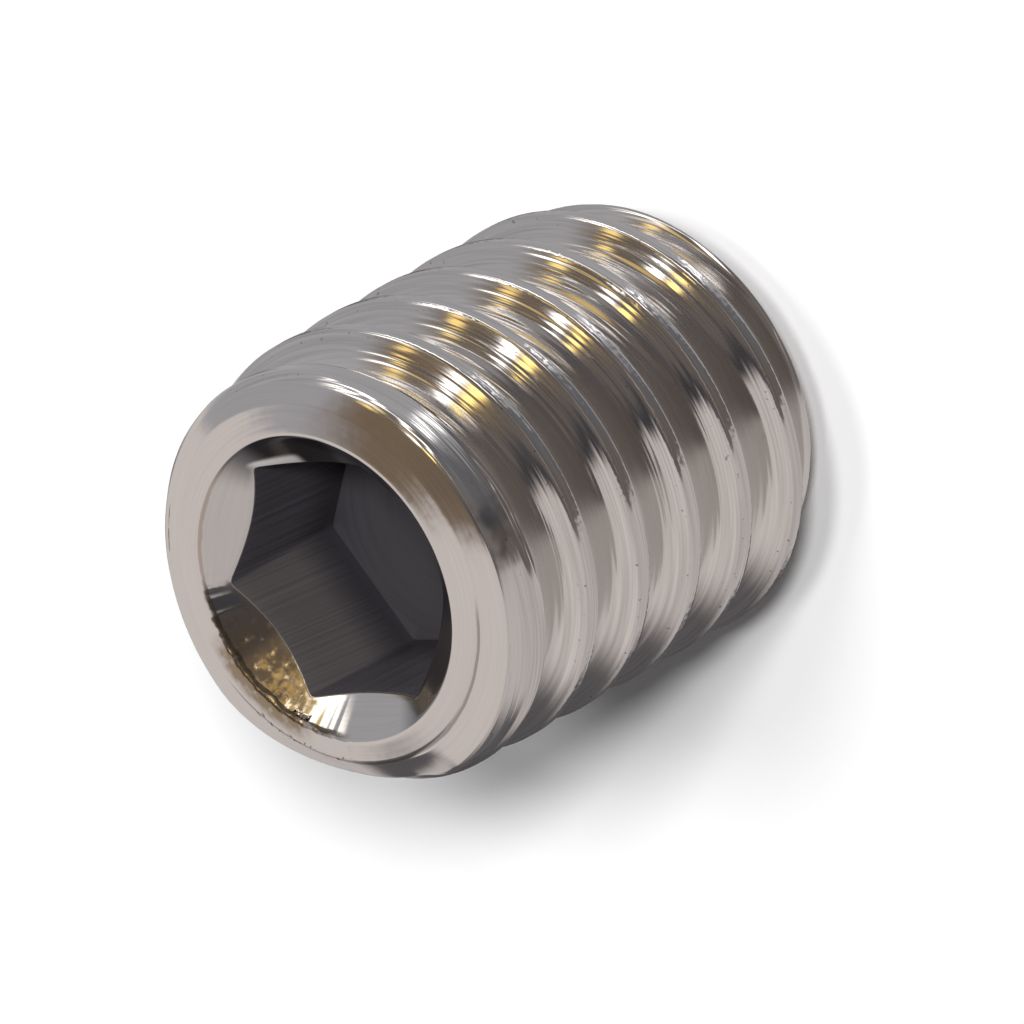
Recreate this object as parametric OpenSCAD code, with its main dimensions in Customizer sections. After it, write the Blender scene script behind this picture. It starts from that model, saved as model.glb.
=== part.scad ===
// Headless set screw with a hexagon socket, a right-hand metric thread and a
// flat point. It is turned from one bar, so it is one solid. It stands on its
// flat point with the socket facing up, and the screw's axis is the Z axis.
// All dimensions are in millimetres.

/* [Body] */
// Overall length, from the flat point to the rim of the socket
length = 5; // [4:0.5:8]
// Diameter of the plain turned neck at the socket end
neck_d = 3.66; // [3.5:0.02:3.8]
// Distance from the rim down to the outer edge of the face
edge_drop = 0.13; // [0.09:0.01:0.18]
// Diameter of the crease where the face turns down more steeply
crease_d = 3.22; // [3.0:0.02:3.4]
// Distance from the rim down to the crease
crease_drop = 0.06; // [0.03:0.01:0.08]
// Distance from the rim down to the first full crest
lead_drop = 0.57; // [0.5:0.01:0.7]
// Angle of the cone between the neck and the first crest, measured from the axis
lead_angle = 57; // [45:1:65]
// Diameter of the flat point
point_d = 2.4; // [2.0:0.05:2.8]
// Angle of the chamfer at the point, measured from the axis
point_chamfer = 45; // [35:1:55]

/* [Thread] */
// Outside diameter over the crests of the thread
major_d = 3.92; // [3.84:0.01:3.98]
// Axial distance from one crest to the next
pitch = 0.7; // [0.7:0.05:0.8]
// Depth of the thread from crest to root
thread_depth = 0.4; // [0.34:0.01:0.4]
// Included angle between the flanks of the groove
flank_angle = 60; // [58:1:62]
// Axial width of the root of the groove
root_w = 0.1; // [0.08:0.005:0.13]
// Height above the point of the lowest full crest on the +X side
crest_z = 0.57; // [0:0.01:0.7]
// Distance below the rim where the groove starts to get shallower
fade_start = 0.49; // [0.42:0.01:0.6]
// Distance below the rim where the groove has run out
fade_end = 0.14; // [0.05:0.01:0.25]
// Flat steps in one turn of the groove
turn_steps = 48; // [24:4:60]

/* [Socket] */
// Width of the hexagon socket across its flats
socket_af = 2.05; // [1.98:0.01:2.1]
// Depth of the flats of the socket below the rim
socket_depth = 1.55; // [1.4:0.05:2.2]
// Diameter of the countersink at the rim
mouth_d = 2.73; // [2.5:0.01:2.9]
// Included angle of the countersink
mouth_angle = 100; // [80:5:120]
// Included angle of the drilled cone below the flats
drill_angle = 120; // [110:2:130]
// Run-out of the socket from the thread axis, towards -X
socket_runout = 0.03; // [0:0.01:0.06]

/* [Hidden] */
$fn = 96;
eps = 0.01;
major_r = major_d / 2;
neck_r = neck_d / 2;
crease_r = crease_d / 2;
point_r = point_d / 2;
mouth_r = mouth_d / 2;
root_r = major_r - thread_depth;
// Axial heights of the lead-in cone and of the point's chamfer
lead_h = (major_r - neck_r) / tan(lead_angle);
point_h = (major_r - point_r) / tan(point_chamfer);
// The groove is cut from just outside the crests, and its turns stay apart there
cut_r = major_r + 0.06;
cut_w = root_w + 2 * (cut_r - root_r) * tan(flank_angle / 2);
// Corner radius of the hexagon, and the largest circle that fits in it
hex_r = socket_af / sqrt(3);
drill_r = socket_af / 2 - eps;
drill_h = drill_r / tan(drill_angle / 2);
mouth_h = mouth_r / tan(mouth_angle / 2);
// First and last steps of the helix, one pitch clear of both ends
groove_z = crest_z + pitch / 2;
first_step = -ceil((groove_z + pitch) / pitch * turn_steps);
last_step = ceil((length + pitch - groove_z) / pitch * turn_steps);
steps = last_step - first_step;

// How far the root has risen at a height: 0 in the full thread, 1 where it has run out
function faded(z) = min(1, max(0, (z - length + fade_start) / (fade_start - fade_end)));

// One cross-section of the groove at a step along the helix
function groove_ring(i) =
    let (a = i * 360 / turn_steps,
         z = groove_z + pitch * i / turn_steps,
         r = root_r + (thread_depth + 0.03) * faded(z),
         w = root_w / 2 + (r - root_r) * tan(flank_angle / 2),
         c = cos(a), s = sin(a))
    [[r * c, r * s, z - w],
     [cut_r * c, cut_r * s, z - cut_w / 2],
     [cut_r * c, cut_r * s, z + cut_w / 2],
     [r * c, r * s, z + w]];

// Helical groove of the thread, as one closed sweep
module groove() {
    points = [for (i = [first_step : last_step]) each groove_ring(i)];
    sides = [for (i = [0 : steps - 1], k = [0 : 3])
        let (a = 4 * i + k, b = 4 * i + (k + 1) % 4)
        each [[a, b, b + 4], [a, b + 4, a + 4]]];
    end = 4 * steps;
    polyhedron(
        points = points,
        faces = concat([[0, 3, 2], [0, 2, 1]], sides,
            [[end, end + 1, end + 2], [end, end + 2, end + 3]]),
        convexity = 12);
}

// Plain turned blank: chamfered point, neck and two-step conical face
module blank() {
    rotate_extrude()
        polygon([
            [0, 0], [point_r, 0], [major_r, point_h],
            [major_r, length - lead_drop], [neck_r, length - lead_drop + lead_h],
            [neck_r, length - edge_drop], [crease_r, length - crease_drop],
            [mouth_r, length], [0, length]]);
}

// Countersink, hexagon flats and drilled cone of the socket
module socket() {
    translate([-socket_runout, 0, 0]) {
        translate([0, 0, length - socket_depth])
            cylinder(r = hex_r, h = socket_depth + 1, $fn = 6);
        translate([0, 0, length - mouth_h])
            cylinder(r1 = 0, r2 = mouth_r + 1 * mouth_r / mouth_h, h = mouth_h + 1);
        translate([0, 0, length - socket_depth - drill_h])
            cylinder(r1 = 0, r2 = drill_r, h = drill_h);
    }
}

module set_screw() {
    color([0.72, 0.70, 0.67])
        difference() {
            blank();
            groove();
            socket();
        }
}

set_screw();
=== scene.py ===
"""Looks of a hexagon socket set screw: one turned and threaded piece of bright steel.

The screw stands on its flat point with the socket up. Lengths are in millimetres and are scaled to
metres when the mesh is made. Angles called phi are counted round the axis from the direction E1.
"""
import math

import bpy
import numpy as np
from mathutils import Matrix, Vector


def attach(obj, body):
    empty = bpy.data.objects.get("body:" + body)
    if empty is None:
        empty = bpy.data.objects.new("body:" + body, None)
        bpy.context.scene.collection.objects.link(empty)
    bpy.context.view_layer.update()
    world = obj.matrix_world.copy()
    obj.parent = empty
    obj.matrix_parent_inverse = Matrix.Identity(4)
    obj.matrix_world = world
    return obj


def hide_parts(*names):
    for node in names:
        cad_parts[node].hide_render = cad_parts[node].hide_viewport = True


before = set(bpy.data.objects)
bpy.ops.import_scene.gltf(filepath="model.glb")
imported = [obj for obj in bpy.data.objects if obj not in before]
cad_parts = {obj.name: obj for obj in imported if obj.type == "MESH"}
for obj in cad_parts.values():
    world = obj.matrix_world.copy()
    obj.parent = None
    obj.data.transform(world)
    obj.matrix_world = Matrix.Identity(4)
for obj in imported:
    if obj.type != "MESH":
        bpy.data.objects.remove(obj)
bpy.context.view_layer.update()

MM = 0.001
TAU = 2 * math.pi

# ---------------------------------------------------------------- sizes
R = 1.96            # thread radius over the crests
P = 0.70            # pitch
DEPTH = 0.405       # crest to root
ROOT_W = 0.115      # width of the root
L = 5.0             # overall length
CREST0 = 0.572      # height of the lowest full crest at angle 0
CREST_W = P - ROOT_W - 2 * DEPTH * math.tan(math.radians(30))

E1 = math.radians(171.23)          # direction in which the turned end runs out
EDGE_R, EDGE_Z, EDGE_C = 1.829, L - 0.133, 0.082   # outer edge of the conical end face
CREASE_R, CREASE_Z = 1.611, L - 0.060
MOUTH_R = 1.364
SOCK_X, SOCK_Y = -0.031, 0.005     # centre of the socket
HEX_AF = 2.05
HEX_DEPTH = 1.55
POINT_R = 1.20
NECK_R = 1.83

N_COL = 312


def smin(a, b, k):
    h = np.clip(0.5 + 0.5 * (b - a) / k, 0, 1)
    return b * (1 - h) + a * h - k * h * (1 - h)


def smax(a, b, k):
    return -smin(-a, -b, k)


def smooth(e0, e1, x):
    t = np.clip((x - e0) / (e1 - e0), 0, 1)
    return t * t * (3 - 2 * t)


def turn(a):
    """Angle brought to -180..180 degrees, in degrees, counted from E1."""
    return np.degrees(np.mod(a - E1 + math.pi, TAU) - math.pi)


def span(a, d0, d1, d2, d3):
    """1 between phi d1 and d2 degrees, falling to 0 at d0 and d3. The middle may lie anywhere."""
    mid = 0.5 * (d1 + d2)
    p = np.mod(turn(a) - mid + 180, 360) - 180 + mid
    return smooth(d0, d1, p) * (1 - smooth(d2, d3, p))


# ---------------------------------------------------------------- outer surface as a height field
def edge_height(a):
    """Height of the outer edge of the end face; it dips on one side, where the chamfer cut deeper."""
    return EDGE_Z - 0.13 * span(a, -82, -30, -14, 8)


def edge_cut(a):
    """Radius of the outer edge about its own centre."""
    return EDGE_R - 0.085 * span(a, -82, -30, -14, 8)


def edge_radius(a):
    return edge_cut(a) + EDGE_C * np.cos(a - E1)


def helix_turn(z, a):
    """Turns below the crest that leaves the socket end."""
    return (CREST0 + 6 * P + P * a / TAU - z) / P


def outer_radius(z, a):
    """Radius of the threaded body at height z and angle a."""
    a = np.mod(a, TAU)
    t = helix_turn(z, a)
    near = np.round(t)
    w = np.abs(t - near) * P                      # axial distance from the nearest crest
    theta = np.floor(t) - a / TAU                 # turns along the groove from its start
    # the groove comes in gradually at the socket end
    depth = DEPTH * smooth(-0.62, -0.12, theta)
    flank = R - (w - CREST_W / 2) / math.tan(math.radians(30))
    r = smax(flank, R - depth, 0.09)
    # crests are a little fuller away from the socket end
    full = R - 0.022 * smooth(3.2, 4.6, z)
    r = smin(r, full, 0.024)
    # turned neck at the socket end, a little off the thread axis
    e = edge_radius(a)
    neck = smax(e, smin(np.full_like(e, NECK_R), e + 1.0 * (edge_height(a) - z), 0.02), 0.01)
    lead = 1.791 + 1.54 * ((L - z) - 0.46)
    r = smin(r, smax(neck, lead, 0.04), 0.03)
    # chamfer of the flat point
    return smin(r, POINT_R + z, 0.03)


# ---------------------------------------------------------------- mesh
def columns():
    """Angles of the columns, closer together at the six corners of the socket."""
    n = N_COL // 6
    k = np.arange(n) / n
    s = k - 0.13 * np.sin(TAU * k) / TAU * 1.6
    return np.concatenate([(i + s) * TAU / 6 for i in range(6)])


ANG = columns()
NC = len(ANG)
PHI = turn(ANG)
verts, across, zone = [], [], []      # points, place across the tool marks, kind of surface
faces = []
THREAD, FACE, SINK, HEX, DRILL, POINT = range(6)


def add(xyz, mark, kind):
    base = sum(len(v) for v in verts)
    xyz = np.asarray(xyz, float)
    verts.append(xyz)
    across.append(np.broadcast_to(mark, (len(xyz),)).astype(float))
    zone.append(np.full(len(xyz), kind))
    return base + np.arange(len(xyz))


def bridge(lower, upper):
    """Quads between two rings; seen from outside, lower comes first along the surface."""
    for j in range(NC):
        k = (j + 1) % NC
        faces.append((lower[j], lower[k], upper[k], upper[j]))


def polar(r, z, cx=0.0, cy=0.0):
    r = np.broadcast_to(r, (NC,))
    z = np.broadcast_to(z, (NC,))
    return np.stack([cx + r * np.cos(ANG), cy + r * np.sin(ANG), z], 1)


def thread_mark(z, a):
    t = helix_turn(z, np.mod(a, TAU))
    return 2 * P * (t - np.round(t))


def hex_radius(a, af, fillet):
    """Distance to the wall of a hexagon with rounded corners on the X axis."""
    b = np.mod(a + math.pi / 6, math.pi / 3) - math.pi / 6
    d = math.pi / 6 - np.abs(b)
    apothem = af / 2
    corner_r = apothem / math.cos(math.pi / 6)
    r = apothem / np.cos(d)
    return smin(r, np.full_like(r, corner_r - fillet * 0.16), fillet * 0.35)


# --- outer helical grid: rows follow the crests, and at the seam a row goes on one pitch higher
def profile_rows():
    """Places across one pitch, measured from a crest, close together where the surface turns."""
    half = CREST_W / 2
    fl = DEPTH * math.tan(math.radians(30))
    side = [0.0, half * 0.55, half * 0.86, half + 0.006, half + 0.020, half + 0.045]
    side += list(np.linspace(half + 0.075, half + fl - 0.055, 5))
    side += [half + fl - 0.025, half + fl + 0.005, half + fl + 0.035]
    left = [-s for s in side[:0:-1]]
    return np.array(left + side + [P / 2])


PROF = profile_rows()
K = len(PROF)
TURNS = 9
Z_TOP = EDGE_Z - 0.19
Z_BOT = 0.03
SNAP = 0.010
u_rows = np.concatenate([PROF + k * P for k in range(TURNS)])
grid_z = CREST0 - 2 * P + u_rows[:, None] + P * ANG[None, :] / TAU
grid_a = np.broadcast_to(ANG[None, :], grid_z.shape)
n_rows = grid_z.shape[0]
top_mask = grid_z > Z_TOP - SNAP
bot_mask = grid_z < Z_BOT + SNAP
inner = ~(top_mask | bot_mask)
grid_r = outer_radius(grid_z, grid_a)
grid_id = np.full(grid_z.shape, -1, int)
row_mark = np.broadcast_to(-2 * np.tile(np.where(PROF > P / 2 - 1e-6, P / 2 - 0.01, PROF), TURNS)[:, None], grid_z.shape)
pts = np.stack([grid_r * np.cos(grid_a), grid_r * np.sin(grid_a), grid_z], 2)[inner]
grid_id[inner] = add(pts, row_mark[inner], THREAD)
top_xyz = polar(outer_radius(np.full(NC, Z_TOP), ANG), Z_TOP)
bot_xyz = polar(outer_radius(np.full(NC, Z_BOT), ANG), Z_BOT)
top_ring = add(top_xyz, thread_mark(Z_TOP, ANG), THREAD)
bot_ring = add(bot_xyz, thread_mark(Z_BOT, ANG), THREAD)
for i in range(n_rows):
    grid_id[i][top_mask[i]] = top_ring[top_mask[i]]
    grid_id[i][bot_mask[i]] = bot_ring[bot_mask[i]]


def add_poly(ids):
    out = []
    for v in ids:
        if v not in out:
            out.append(v)
    if len(out) >= 3:
        faces.append(tuple(out))


for i in range(n_rows - 1):
    for j in range(NC - 1):
        add_poly((grid_id[i, j], grid_id[i, j + 1], grid_id[i + 1, j + 1], grid_id[i + 1, j]))
    if i + 1 + K < n_rows:
        add_poly((grid_id[i, NC - 1], grid_id[i + K, 0], grid_id[i + 1 + K, 0], grid_id[i + 1, NC - 1]))

# --- socket end: neck, edge, conical face, mouth, countersink, hexagon, drilled cone
E1X, E1Y = math.cos(E1), math.sin(E1)
cut_r = edge_cut(ANG)
edge_xyz = np.stack([EDGE_C * E1X + cut_r * np.cos(ANG), EDGE_C * E1Y + cut_r * np.sin(ANG), edge_height(ANG)], 1)
crease_xyz = polar(CREASE_R, CREASE_Z)
worn = span(ANG, 238, 256, 326, 344)             # stretch of the mouth that the broach left ragged
rag = (np.sin(PHI * 0.61 + 0.4) + np.sin(PHI * 1.07 + 2.0) + 0.8 * np.sin(PHI * 1.93 + 1.1) + 0.7 * np.sin(PHI * 3.1)) / 3.5
mouth_xyz = polar(MOUTH_R + worn * (0.006 + 0.014 * rag), L, SOCK_X, SOCK_Y)
hexr = hex_radius(ANG, HEX_AF, 0.06)
sink_xyz = np.stack([SOCK_X + hexr * np.cos(ANG), SOCK_Y + hexr * np.sin(ANG), L - (MOUTH_R - hexr) * 0.85], 1)
low_xyz = np.stack([SOCK_X + hexr * np.cos(ANG), SOCK_Y + hexr * np.sin(ANG), np.full(NC, L - HEX_DEPTH)], 1)


def mix(a, b, t):
    return a * (1 - t) + b * t


def corner(before, at, after, d_in, d_out, n):
    """Rows that round the edge between two strips: a curve from d_in before the edge to d_out after it."""
    d_in = np.broadcast_to(d_in, (NC,))[:, None]
    d_out = np.broadcast_to(d_out, (NC,))[:, None]
    u = before - at
    u = u / np.linalg.norm(u, axis=1, keepdims=True)
    v = after - at
    v = v / np.linalg.norm(v, axis=1, keepdims=True)
    p0, p2 = at + u * d_in, at + v * d_out
    return [mix(mix(p0, at, t), mix(at, p2, t), t) for t in np.linspace(0, 1, n)]


path = []           # (points, kind)
neck_end = edge_height(ANG) - 0.03
for t in (0.25, 0.5, 0.75, 1.0):
    z = mix(np.full(NC, Z_TOP), neck_end, t)
    path.append((polar(outer_radius(z, ANG), z), THREAD))
last = path[-1][0]
row_edge = len(path) + 4
for k, q in enumerate(corner(last, edge_xyz, crease_xyz, 0.027, 0.042, 8)):
    path.append((q, THREAD if k < 2 else FACE))
for t in (0.3, 0.55, 0.8):
    path.append((mix(edge_xyz, crease_xyz, t), FACE))
line = span(ANG, -78, -60, 52, 74)
sunk = crease_xyz - np.stack([0 * line, 0 * line, 0.012 * line], 1)
for q in (mix(crease_xyz, edge_xyz, 0.14), mix(crease_xyz, edge_xyz, 0.08), sunk, mix(crease_xyz, mouth_xyz, 0.08), mix(crease_xyz, mouth_xyz, 0.14)):
    path.append((q, FACE))
row_crease = len(path) - 3
for t in (0.25, 0.5, 0.75):
    path.append((mix(crease_xyz, mouth_xyz, t), FACE))
row_mouth = len(path) + 3
for k, q in enumerate(corner(crease_xyz, mouth_xyz, sink_xyz, 0.026 + 0.012 * worn, 0.030 + 0.03 * worn * (1 + 0.5 * rag), 7)):
    path.append((q, FACE if k < 4 else SINK))
for t in (0.2, 0.4, 0.6, 0.8):
    path.append((mix(mouth_xyz, sink_xyz, t), SINK))
row_sink = len(path) + 1
for k, q in enumerate(corner(mouth_xyz, sink_xyz, low_xyz, 0.016, 0.016, 4)):
    path.append((q, SINK if k < 2 else HEX))
for t in (0.15, 0.3, 0.45, 0.6, 0.75, 0.9):
    path.append((mix(sink_xyz, low_xyz, t), HEX))
drill_r = HEX_AF / 2 - 0.01
tip = np.array([SOCK_X, SOCK_Y, L - HEX_DEPTH - drill_r / math.tan(math.radians(60))])
floor_xyz = polar(drill_r, L - HEX_DEPTH - 0.002, SOCK_X, SOCK_Y)
path += [(q, DRILL) for q in corner(sink_xyz, low_xyz, floor_xyz, 0.03, 0.004, 3)]
for t in (0.0, 0.3, 0.6, 0.85):
    path.append((mix(floor_xyz, np.broadcast_to(tip, (NC, 3)), t), DRILL))
# length along the hexagon's walls, for the marks that the broach left
step = np.linalg.norm(np.diff(low_xyz, axis=0, append=low_xyz[:1]), axis=1)
around = np.concatenate([[0], np.cumsum(step)[:-1]])
prev, prev_xyz, s = top_ring, top_xyz, 2.0
place = []          # length along the surface at each row
for xyz, kind in path:
    s += float(np.mean(np.linalg.norm(xyz - prev_xyz, axis=1)))
    mark = thread_mark(xyz[:, 2], ANG) if kind == THREAD else (around if kind == HEX else s)
    cur = add(xyz, mark, kind)
    bridge(prev, cur)
    prev, prev_xyz = cur, xyz
    place.append(s)
tip_id = add(tip[None], s + 0.3, DRILL)[0]
for j in range(NC):
    faces.append((prev[j], prev[(j + 1) % NC], tip_id))

# --- flat point
prev, s = bot_ring, 0.0
rim = polar(POINT_R, 0.0)
rows = corner(bot_xyz, rim, polar(0.6, 0.0), 0.02, 0.02, 4) + [polar(r, 0.0) for r in (1.0, 0.75, 0.5, 0.25)]
for xyz in rows:
    cur = add(xyz, np.hypot(xyz[:, 0], xyz[:, 1]), POINT)
    bridge(cur, prev)
    prev = cur
mid_id = add(np.zeros((1, 3)), 0.0, POINT)[0]
for j in range(NC):
    faces.append((prev[(j + 1) % NC], prev[j], mid_id))

V = np.concatenate(verts)
mesh = bpy.data.meshes.new("set_screw_body")
mesh.from_pydata((V * MM).tolist(), [], [tuple(int(i) for i in f) for f in faces])
kinds = np.concatenate(zone)
for name, values in (("across", np.concatenate(across)), ("on_face", kinds == FACE), ("on_sink", kinds == SINK),
                     ("on_hex", kinds == HEX), ("on_drill", kinds == DRILL)):
    att = mesh.attributes.new(name, "FLOAT", "POINT")
    att.data.foreach_set("value", np.asarray(values, np.float32))
mesh.update()
screw = bpy.data.objects.new("set_screw_body", mesh)
bpy.context.scene.collection.objects.link(screw)
mesh.polygons.foreach_set("use_smooth", np.ones(len(mesh.polygons), bool))
print("triangles", sum(len(p.vertices) - 2 for p in mesh.polygons), "vertices", len(mesh.vertices))


# ---------------------------------------------------------------- node helper
class Net:
    """Short names for the nodes used below; a value is a socket, a number or a tuple."""

    def __init__(self, tree):
        self.tree = tree
        tree.nodes.clear()

    def node(self, kind, **props):
        n = self.tree.nodes.new(kind)
        for k, v in props.items():
            setattr(n, k, v)
        return n

    def put(self, socket, value):
        if isinstance(value, bpy.types.NodeSocket):
            self.tree.links.new(value, socket)
        elif isinstance(value, (tuple, list, Vector)):
            value = tuple(value)
            if socket.type == "RGBA" and len(value) == 3:
                value += (1.0,)
            socket.default_value = value
        else:
            socket.default_value = value

    def m(self, op, a, b=0.0, c=0.0, clamp=False):
        n = self.node("ShaderNodeMath", operation=op, use_clamp=clamp)
        for s, v in zip(n.inputs, (a, b, c)):
            self.put(s, v)
        return n.outputs[0]

    def v(self, op, a, b=(0, 0, 0), scale=None):
        n = self.node("ShaderNodeVectorMath", operation=op)
        self.put(n.inputs[0], a)
        if op == "SCALE":
            self.put(n.inputs["Scale"], scale)
        elif len(n.inputs) > 1 and op != "NORMALIZE":
            self.put(n.inputs[1], b)
        return n.outputs["Value"] if op in ("DOT_PRODUCT", "LENGTH") else n.outputs["Vector"]

    def ramp(self, x, e0, e1, to0=0.0, to1=1.0):
        """Smooth step from to0 at e0 to to1 at e1."""
        n = self.node("ShaderNodeMapRange", interpolation_type="SMOOTHSTEP")
        for s, v in zip(("Value", "From Min", "From Max", "To Min", "To Max"), (x, e0, e1, to0, to1)):
            self.put(n.inputs[s], v)
        return n.outputs["Result"]

    def mix(self, f, a, b):
        n = self.node("ShaderNodeMix", data_type="RGBA")
        self.put(n.inputs[0], f)
        self.put(n.inputs[6], a)
        self.put(n.inputs[7], b)
        return n.outputs[2]

    def mixf(self, f, a, b):
        n = self.node("ShaderNodeMix", data_type="FLOAT")
        self.put(n.inputs[0], f)
        self.put(n.inputs[2], a)
        self.put(n.inputs[3], b)
        return n.outputs[0]

    def noise(self, vec, scale=1.0, detail=2.0, rough=0.5):
        n = self.node("ShaderNodeTexNoise", noise_dimensions="3D")
        self.put(n.inputs["Vector"], vec)
        self.put(n.inputs["Scale"], scale)
        self.put(n.inputs["Detail"], detail)
        self.put(n.inputs["Roughness"], rough)
        return n.outputs["Fac"]

    def xyz(self, x, y, z):
        n = self.node("ShaderNodeCombineXYZ")
        for s, v in zip(n.inputs, (x, y, z)):
            self.put(s, v)
        return n.outputs[0]

    def attr(self, name):
        return self.node("ShaderNodeAttribute", attribute_name=name).outputs["Fac"]


# ---------------------------------------------------------------- steel
mat = bpy.data.materials.new("bright_steel")
mat.use_nodes = True
N = Net(mat.node_tree)
out = N.node("ShaderNodeOutputMaterial")
bsdf = N.node("ShaderNodeBsdfPrincipled")
mat.node_tree.links.new(bsdf.outputs[0], out.inputs[0])
obj = N.node("ShaderNodeTexCoord").outputs["Object"]
pos = N.v("SCALE", obj, scale=1000.0)                  # millimetres
sep = N.node("ShaderNodeSeparateXYZ")
N.put(sep.inputs[0], pos)
px, py, pz = sep.outputs
geo_n = N.node("ShaderNodeNewGeometry").outputs["Normal"]
a_across, on_face, on_sink, on_hex, on_drill = (N.attr(k) for k in ("across", "on_face", "on_sink", "on_hex", "on_drill"))
s_edge, s_crease, s_mouth, s_sink = place[row_edge], place[row_crease], place[row_mouth], place[row_sink]
radial = N.v("NORMALIZE", N.xyz(px, py, 0.0))
tang = N.xyz(N.m("MULTIPLY", N.v("DOT_PRODUCT", radial, (0, 1, 0)), -1.0), N.v("DOT_PRODUCT", radial, (1, 0, 0)), 0.0)


def marks(along, per_mm, shift, detail=2.0):
    """Long thin marks: slow along the cut, quick across it."""
    z = N.m("MULTIPLY_ADD", a_across, per_mm, N.m("MULTIPLY", pz, shift))
    return N.m("SUBTRACT", N.noise(N.xyz(N.m("MULTIPLY", px, along), N.m("MULTIPLY", py, along), z), 1.0, detail), 0.5)


def toward_phi(phi):
    """Level direction at angle phi."""
    t = E1 + math.radians(phi)
    return (math.cos(t), math.sin(t), 0.0)


def facing(phi, inner, outer):
    """1 within inner degrees of phi, 0 beyond outer."""
    return N.ramp(N.v("DOT_PRODUCT", radial, toward_phi(phi)), math.cos(math.radians(outer)), math.cos(math.radians(inner)))


def times(*values):
    r = values[0]
    for v in values[1:]:
        r = N.m("MULTIPLY", r, v)
    return r


def line_at(place_mm, half, wander=0.0, scale=6.0):
    """1 on a thin line at a place along the surface; it may wander a little."""
    d = N.m("SUBTRACT", a_across, place_mm)
    if wander:
        d = N.m("MULTIPLY_ADD", N.m("SUBTRACT", N.noise(pos, scale, 2.0), 0.5), wander, d)
    return N.ramp(N.m("ABSOLUTE", d), half, half * 0.35)


turned = N.m("MAXIMUM", on_face, on_sink)
inside = N.m("MAXIMUM", on_hex, on_drill)
on_thread = N.m("SUBTRACT", 1.0, N.m("MAXIMUM", turned, inside), clamp=True)
reach = N.m("ABSOLUTE", a_across)
broad = marks(0.45, 11.0, 1.9, 0.0)
coarse = marks(0.70, 32.0, 2.7, 0.0)
fine = marks(1.00, 54.0, 3.9, 1.0)
pale = facing(30, 52, 74)
tilt = N.m("MULTIPLY", broad, N.mixf(pale, 0.15, 0.06))
tilt = N.m("MULTIPLY_ADD", coarse, N.mixf(pale, 0.50, 0.17), tilt)
tilt = N.m("MULTIPLY_ADD", fine, N.mixf(pale, 0.27, 0.17), tilt)
tilt = N.m("MULTIPLY", tilt, N.mixf(on_face, N.mixf(on_sink, 1.0, 0.05), 0.07))
tilt = N.m("MULTIPLY", tilt, N.ramp(pz, 0.35, 0.85, 0.40, 1.0))
slope_dir = N.v("CROSS_PRODUCT", geo_n, N.mix(on_hex, tang, (0, 0, 1)))
# small dents along the crests, and torn metal low in the countersink
on_crest = times(N.ramp(reach, 0.17, 0.11), on_thread)
torn_and_warm_sheen = times(on_sink, facing(288, 17, 30))
dents = N.m("SUBTRACT", N.noise(pos, 22.0, 1.0), 0.5)
pits = N.node("ShaderNodeTexNoise", noise_dimensions="3D")
N.put(pits.inputs["Vector"], pos)
pits.inputs["Scale"].default_value = 12.0
pits.inputs["Detail"].default_value = 4.0
jolt = N.v("SCALE", N.v("SUBTRACT", pits.outputs["Color"], (0.5, 0.5, 0.5)), scale=N.m("MULTIPLY_ADD", on_face, 0.035, times(torn_and_warm_sheen, 0.75)))
tilt = N.m("MULTIPLY_ADD", dents, times(on_crest, N.ramp(pz, L - 0.52, L - 0.72), N.ramp(pz, 0.78, 0.95), 0.36), tilt)
normal = N.v("ADD", N.v("ADD", geo_n, N.v("SCALE", slope_dir, scale=tilt)), jolt)
mat.node_tree.links.new(N.v("NORMALIZE", normal), bsdf.inputs["Normal"])
grain = N.m("MULTIPLY", fine, N.mixf(turned, 1.7, 0.45))
grain = N.m("MULTIPLY_ADD", coarse, times(on_thread, 0.9), grain)
base = N.mix(N.m("ADD", grain, 0.5, clamp=True), (0.60, 0.578, 0.562), (0.79, 0.765, 0.745))
# painted light: the inner part of each flank, towards the root, is painted lighter to lift the shade it gets from
# mirroring the next thread
base = N.mix(times(on_thread, N.ramp(reach, 0.26, 0.46), 0.62), base, (0.85, 0.822, 0.80))
# real torn metal low in the countersink, with a gold tint painted on it as a warm reflection
base = N.mix(times(torn_and_warm_sheen, 0.7), base, (0.58, 0.45, 0.25))
# painted shade: a stretch of the countersink painted dark, standing in for the dark that it mirrors
base = N.mix(times(on_sink, facing(266, 9, 17), 0.62), base, (0.16, 0.155, 0.17))
# dark lines and specks: painted shade along the ragged rim of the mouth, scale in the crease, nicks at the outer edge,
# pits by the crests
rim = times(turned, line_at(s_mouth + 0.030, 0.030, 0.075), facing(289, 34, 46))
tan_line = times(turned, line_at(s_mouth + 0.026, 0.026, 0.02), facing(218, 24, 36))
specks = N.ramp(N.noise(pos, 26.0, 2.0), 0.56, 0.66)
scale_dots = times(on_face, line_at(s_crease + 0.01, 0.05, 0.04), facing(312, 14, 24), specks)
nick = times(on_face, line_at(s_edge + 0.055, 0.016, 0.05, 9.0), facing(234, 6, 10), N.ramp(N.noise(pos, 9.0, 1.0), 0.40, 0.50))
pitted = times(on_thread, N.ramp(reach, 0.09, 0.12), N.ramp(reach, 0.24, 0.19), N.ramp(N.noise(pos, 21.0, 1.0), 0.70, 0.76))
base = N.mix(times(tan_line, 0.55), base, (0.42, 0.33, 0.27))
# painted shade: two stretches of the countersink painted dark, for the dark that they mirror
base = N.mix(times(on_sink, facing(161, 15, 25), 0.93), base, (0.075, 0.072, 0.079))
base = N.mix(times(on_sink, facing(36, 24, 40), 0.8), base, (0.16, 0.155, 0.175))
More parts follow.
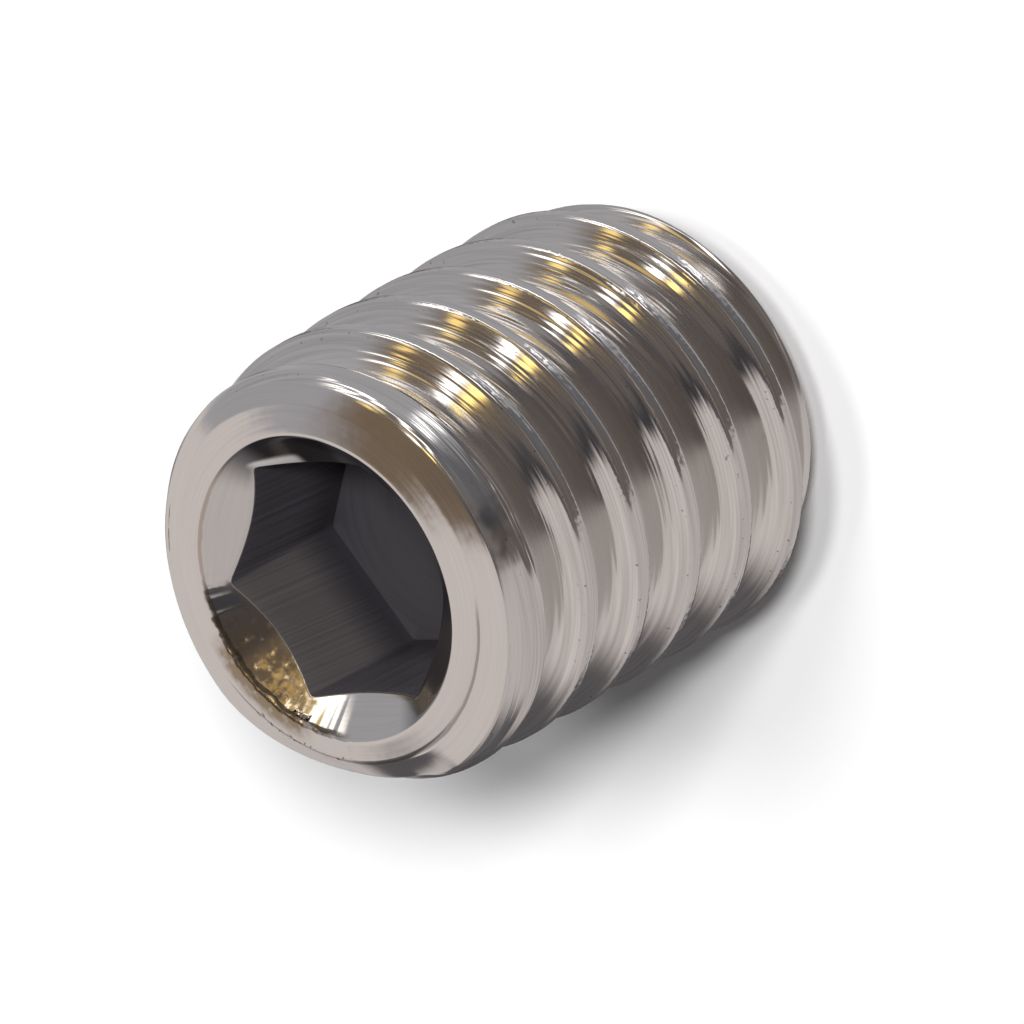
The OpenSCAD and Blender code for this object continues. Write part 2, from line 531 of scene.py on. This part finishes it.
# painted highlight: a thin bright, duller sliver at one corner of the hexagon, for the glint of a burr; and painted
# shade: dark bluish mottling on the neck
burr_painted_glint = times(on_sink, N.ramp(a_across, mix(s_mouth, s_sink, 0.60), mix(s_mouth, s_sink, 0.80)), facing(177, 8, 15))
base = N.mix(burr_painted_glint, base, (0.80, 0.78, 0.76))
neck_painted_shade = times(on_thread, N.ramp(pz, L - 0.52, L - 0.45), facing(80, 5, 11), N.ramp(N.noise(pos, 5.0, 1.0), 0.30, 0.68))
base = N.mix(times(neck_painted_shade, 0.8), base, (0.22, 0.235, 0.275))
stain = times(on_face, N.ramp(N.m("SUBTRACT", s_mouth, a_across), 0.24, 0.06), facing(292, 10, 27))
base = N.mix(times(stain, N.noise(pos, 12.0, 2.0), 2.3), base, (0.33, 0.265, 0.19))
# painted shade: a thin dark line along the crease of the end face
crease_painted_shade = times(on_face, line_at(s_crease, 0.020, 0.012), facing(-8, 62, 74))
base = N.mix(times(crease_painted_shade, 0.6), base, (0.20, 0.175, 0.16))
# the mouth rim's painted shade together with the dark specks, nicks and pits
dark = N.m("MAXIMUM", N.m("MAXIMUM", rim, scale_dots), N.m("MAXIMUM", nick, times(pitted, 0.55)))
base = N.mix(times(dark, 0.92), base, (0.085, 0.07, 0.055))
# the broached walls are dull and painted dark, darker still with depth as painted shade; one of them is painted lighter
# near its mouth, as if lit, and the drilled bottom is painted dark as shade
# painted shade: the thread's downward faces are painted a little darker
painted_underside_shade = N.ramp(N.v("DOT_PRODUCT", geo_n, (0, 0, 1)), -0.2, -0.6)
base = N.mix(times(painted_underside_shade, on_thread, 0.12), base, (0.22, 0.20, 0.185))
wall_painted_light = times(N.ramp(N.v("DOT_PRODUCT", geo_n, toward_phi(98.8)), 0.86, 0.98), N.ramp(pz, L - 1.5, L - 0.95))
streak = N.m("MULTIPLY_ADD", fine, 0.8, 1.0)
wall = N.mix(wall_painted_light, (0.135, 0.128, 0.145), (0.185, 0.163, 0.163))
wall = N.mix(N.ramp(pz, L - 0.85, L - 1.50), wall, (0.062, 0.057, 0.066))
base = N.mix(N.m("ADD", on_hex, on_drill, clamp=True), base, N.v("SCALE", wall, scale=streak))
base = N.mix(on_drill, base, (0.070, 0.066, 0.076))
N.put(bsdf.inputs["Base Color"], base)
N.put(bsdf.inputs["Metallic"], N.m("MULTIPLY_ADD", burr_painted_glint, -0.6, N.m("MULTIPLY_ADD", N.m("ADD", on_hex, on_drill, clamp=True), -0.42, 1.0), clamp=True))
rough = N.mixf(inside, N.mixf(on_face, 0.105, 0.12), 0.36)
rough = N.m("MULTIPLY_ADD", broad, 0.06, rough)
rough = N.m("MULTIPLY_ADD", on_drill, 0.20, rough)
rough = N.m("MULTIPLY_ADD", times(on_thread, N.ramp(reach, 0.28, 0.52), N.mixf(facing(52, 42, 60), 0.35, 1.0)), 0.16, rough)
rough = N.m("MULTIPLY_ADD", torn_and_warm_sheen, 0.12, rough)
rough = N.m("MULTIPLY_ADD", burr_painted_glint, 0.30, rough)
rough = N.m("MULTIPLY_ADD", dark, 0.25, rough)
N.put(bsdf.inputs["Roughness"], rough)
mesh.materials.append(mat)
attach(screw, "root")
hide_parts("set_screw")

# ---------------------------------------------------------------- floor
bpy.ops.mesh.primitive_plane_add(size=1.2, location=(0, 0, 0))
floor = bpy.context.object
floor.name = "floor"
fm = bpy.data.materials.new("floor_paper")
fm.use_nodes = True
F = Net(fm.node_tree)
f_out = F.node("ShaderNodeOutputMaterial")
f_bsdf = F.node("ShaderNodeBsdfPrincipled")
fm.node_tree.links.new(f_bsdf.outputs[0], f_out.inputs[0])
f_pos = F.v("SCALE", F.node("ShaderNodeTexCoord").outputs["Object"], scale=1000.0)
F.put(f_bsdf.inputs["Base Color"], F.mix(F.noise(f_pos, 3.0, 3.0), (0.90, 0.90, 0.905), (0.92, 0.92, 0.92)))
f_bsdf.inputs["Roughness"].default_value = 0.95
f_bsdf.inputs["Specular IOR Level"].default_value = 0.0
floor.data.materials.append(fm)
floor.visible_glossy = False

# ---------------------------------------------------------------- directions of the studio
TH, PS = math.radians(44.9), math.radians(29.2)
AZ = math.radians(261.23)                 # horizontal direction of the camera, seen from the screw
e1 = Vector((E1X, E1Y, 0))
e2 = Vector((math.cos(AZ), math.sin(AZ), 0))
ez = Vector((0, 0, 1))
view = math.cos(TH) * ez + math.sin(TH) * e2
up = (-0.785 * e1 + 0.62 * e2).normalized()           # the studio's ceiling, seen from the screw
fore = (view - view.dot(up) * up).normalized()
side = up.cross(fore)
perp = (0.62 * e1 + 0.785 * e2).normalized()


def toward(az, el):
    a, e = math.radians(az), math.radians(el)
    return math.cos(e) * (math.cos(a) * fore + math.sin(a) * side) + math.sin(e) * up


def mirror(phi, beta):
    """Direction that a surface tilted beta from the axis, at angle phi, mirrors."""
    p, b = math.radians(phi), math.radians(beta)
    n = math.cos(b) * ez + math.sin(b) * (math.cos(p) * e1 + math.sin(p) * e2)
    return 2 * n.dot(view) * n - view


# ---------------------------------------------------------------- world: what the steel mirrors
world = bpy.data.worlds.new("studio")
bpy.context.scene.world = world
world.use_nodes = True
W = Net(world.node_tree)
w_out = W.node("ShaderNodeOutputWorld")
d = W.node("ShaderNodeTexCoord").outputs["Generated"]
du = W.v("DOT_PRODUCT", d, up)
dp = W.v("DOT_PRODUCT", d, perp)


def along(vec):
    return W.v("DOT_PRODUCT", d, vec)


def spot(direction, width, length=None, axis=None, edge=0.45):
    """1 inside a round or long patch of sky, soft at its edge. Sizes are half-widths in degrees."""
    direction = direction.normalized()
    axis = axis if axis is not None else up
    b = (axis - axis.dot(direction) * direction).normalized()
    a = direction.cross(b)
    wa, wb = math.sin(math.radians(width)), math.sin(math.radians(length or width))
    q = W.xyz(along(a / wa), along(b / wb), 0.0)
    inside = W.ramp(W.v("LENGTH", q), 1.0 + edge, 1.0 - edge)
    return W.m("MULTIPLY", inside, W.m("GREATER_THAN", along(direction), 0.2))


# table and room
horizon = W.m("SUBTRACT", du, W.m("MULTIPLY_ADD", along(toward(120, 0)), 0.12, -0.045))
horizon = W.m("ADD", horizon, W.ramp(along(toward(-110, 0)), 0.72, 1.0, 0.0, 0.01))
horizon = W.m("ADD", horizon, W.m("MULTIPLY", spot(toward(-70, -6), 12, 12), 0.045))
horizon = W.m("SUBTRACT", horizon, W.m("MULTIPLY", spot(toward(-18, -4), 15, 13), 0.135))
on_table = W.ramp(horizon, 0.055, -0.05)
strip = W.m("MULTIPLY", W.m("ARCTAN2", dp, W.m("MULTIPLY", du, -1.0)), 180 / math.pi)
shade = W.m("MULTIPLY", W.ramp(strip, 20.0, -5.0), W.m("MAXIMUM", W.ramp(strip, -32.0, -24.0), W.m("MULTIPLY", W.ramp(along(ez), -0.35, -0.60), W.ramp(strip, -95.0, -60.0))))
shade = W.m("MULTIPLY", shade, W.ramp(along(ez), 0.67, 0.45))
near_side = W.ramp(along(toward(-80, 0)), -0.2, 0.8)
table = W.mix(near_side, (0.56, 0.525, 0.51), (0.74, 0.685, 0.66))
table = W.mix(W.m("MULTIPLY", shade, 0.93), table, (0.075, 0.072, 0.08))
left_wall = W.ramp(along(toward(25, 0)), 0.02, -0.22)
room = W.mix(spot(toward(-58, 4), 26, 20), (0.160, 0.138, 0.126), (0.205, 0.150, 0.102))
room = W.mix(spot(toward(-18, 3), 24, 8), room, (0.105, 0.104, 0.114))
room = W.mix(spot(toward(-20.5, 3.0), 12, 5.0, edge=0.75), room, (0.050, 0.047, 0.053))
room = W.mix(W.ramp(along(toward(118, 46)), 0.80, 0.98), room, (0.15, 0.15, 0.16))
sky = W.mix(left_wall, room, (0.435, 0.432, 0.455))
env = W.mix(on_table, sky, table)


def lamp(env, f, colour):
    n = W.node("ShaderNodeMix", data_type="RGBA", blend_type="ADD")
    W.put(n.inputs[0], f)
    W.put(n.inputs[6], env)
    W.put(n.inputs[7], colour)
    return n.outputs[2]


def tilt_axis(phi, beta):
    """Way in which a mirrored direction moves as the surface tilts."""
    return (mirror(phi, beta + 2) - mirror(phi, beta - 2)).normalized()


env = lamp(env, spot(mirror(115.0, 30), 2.4, 7.5, tilt_axis(115, 30)), (3.3, 3.25, 3.15))
env = lamp(env, spot(mirror(108.6, 30), 2.2, 6.5, tilt_axis(108.6, 30)), (2.75, 1.95, 0.58))
env = lamp(env, spot(mirror(131.5, 30), 2.4, 5.5, tilt_axis(131.5, 30)), (1.5, 1.05, 0.31))
env = lamp(env, spot(toward(-79, 43), 9, 6, edge=0.8), (2.9, 2.75, 2.45))
env = lamp(env, spot(toward(-48, 45), 13, 7), (0.62, 0.43, 0.11))
turn_axis = (mirror(118, 90) - mirror(110, 90)).normalized()
env = lamp(env, spot(mirror(114.0, 90), 3.6, 6, turn_axis), (1.9, 1.9, 1.9))
swing = (mirror(140, 52) - mirror(122, 52)).normalized()
env = lamp(env, spot(mirror(131, 60), 6.5, 22, swing), (2.6, 2.55, 2.48))
swing = (mirror(118, 52) - mirror(106, 52)).normalized()
env = lamp(env, spot(mirror(113, 60), 9, 9, swing), (2.4, 2.35, 2.3))
swing = (mirror(96, 57) - mirror(80, 57)).normalized()
env = lamp(env, spot(mirror(88, 58), 4.0, 24, swing), (0.36, 0.36, 0.37))
path_n = W.node("ShaderNodeLightPath")


def backdrop(colour):
    bg = W.node("ShaderNodeBackground")
    W.put(bg.inputs["Color"], colour)
    return bg.outputs[0]


seen = backdrop(env)
for ray, colour in (("Is Camera Ray", (1.0, 1.0, 1.0)), ("Is Diffuse Ray", (0.070, 0.070, 0.075))):
    blend = W.node("ShaderNodeMixShader")
    W.put(blend.inputs[0], path_n.outputs[ray])
    W.put(blend.inputs[1], seen)
    W.put(blend.inputs[2], backdrop(colour))
    seen = blend.outputs[0]
world.node_tree.links.new(seen, w_out.inputs[0])

# ---------------------------------------------------------------- key light: the soft shadow on the floor
for name, came_from, energy, size in (("key", -0.70 * e1 + 4.95 * e2 + 5.0 * ez, 2.10, 7), ("side", -1.16 * e1 + 3.4 * e2 + 5.0 * ez, 1.32, 8), ("fill", -1.55 * e1 + 1.4 * e2 + 5.0 * ez, 0.74, 12)):
    sun = bpy.data.lights.new(name, "SUN")
    sun.energy = energy
    sun.angle = math.radians(size)
    sun_o = bpy.data.objects.new(name, sun)
    bpy.context.scene.collection.objects.link(sun_o)
    sun_o.rotation_euler = came_from.normalized().to_track_quat("Z", "Y").to_euler()
    sun_o.visible_glossy = False
bpy.context.scene.view_settings.view_transform = "Standard"

# ---------------------------------------------------------------- camera
# It looks down on the socket end and is turned so that the axis rises to the upper right.
into = -ez
cam_x = (math.sin(TH) * math.cos(PS)) * into + math.sin(PS) * e1 + (math.cos(TH) * math.cos(PS)) * e2
cam_y = (-math.sin(TH) * math.sin(PS)) * into + math.cos(PS) * e1 + (-math.cos(TH) * math.sin(PS)) * e2
cam_z = -view
PX_MM = 234.4 / 1.96                      # pixels per millimetre at the socket face
DIST = 250.0
anchor_px = (325.5, 583.7)                # where the axis meets the socket face
anchor = Vector((0, 0, L - 0.048))
cam_data = bpy.data.cameras.new("camera")
cam_data.sensor_width = 36.0
cam_data.lens = PX_MM * DIST / 1024 * 36.0
cam = bpy.data.objects.new("camera", cam_data)
bpy.context.scene.collection.objects.link(cam)
loc = anchor * MM - (cam_x * ((anchor_px[0] - 512) / PX_MM) + cam_y * ((anchor_px[1] - 512) / PX_MM) + cam_z * DIST) * MM
rot = Matrix((cam_x, -cam_y, -cam_z)).transposed()
cam.matrix_world = Matrix.Translation(loc) @ rot.to_4x4()
cam_data.clip_start, cam_data.clip_end = 0.01, 3.0
cam_data.dof.use_dof = False
bpy.context.scene.camera = cam
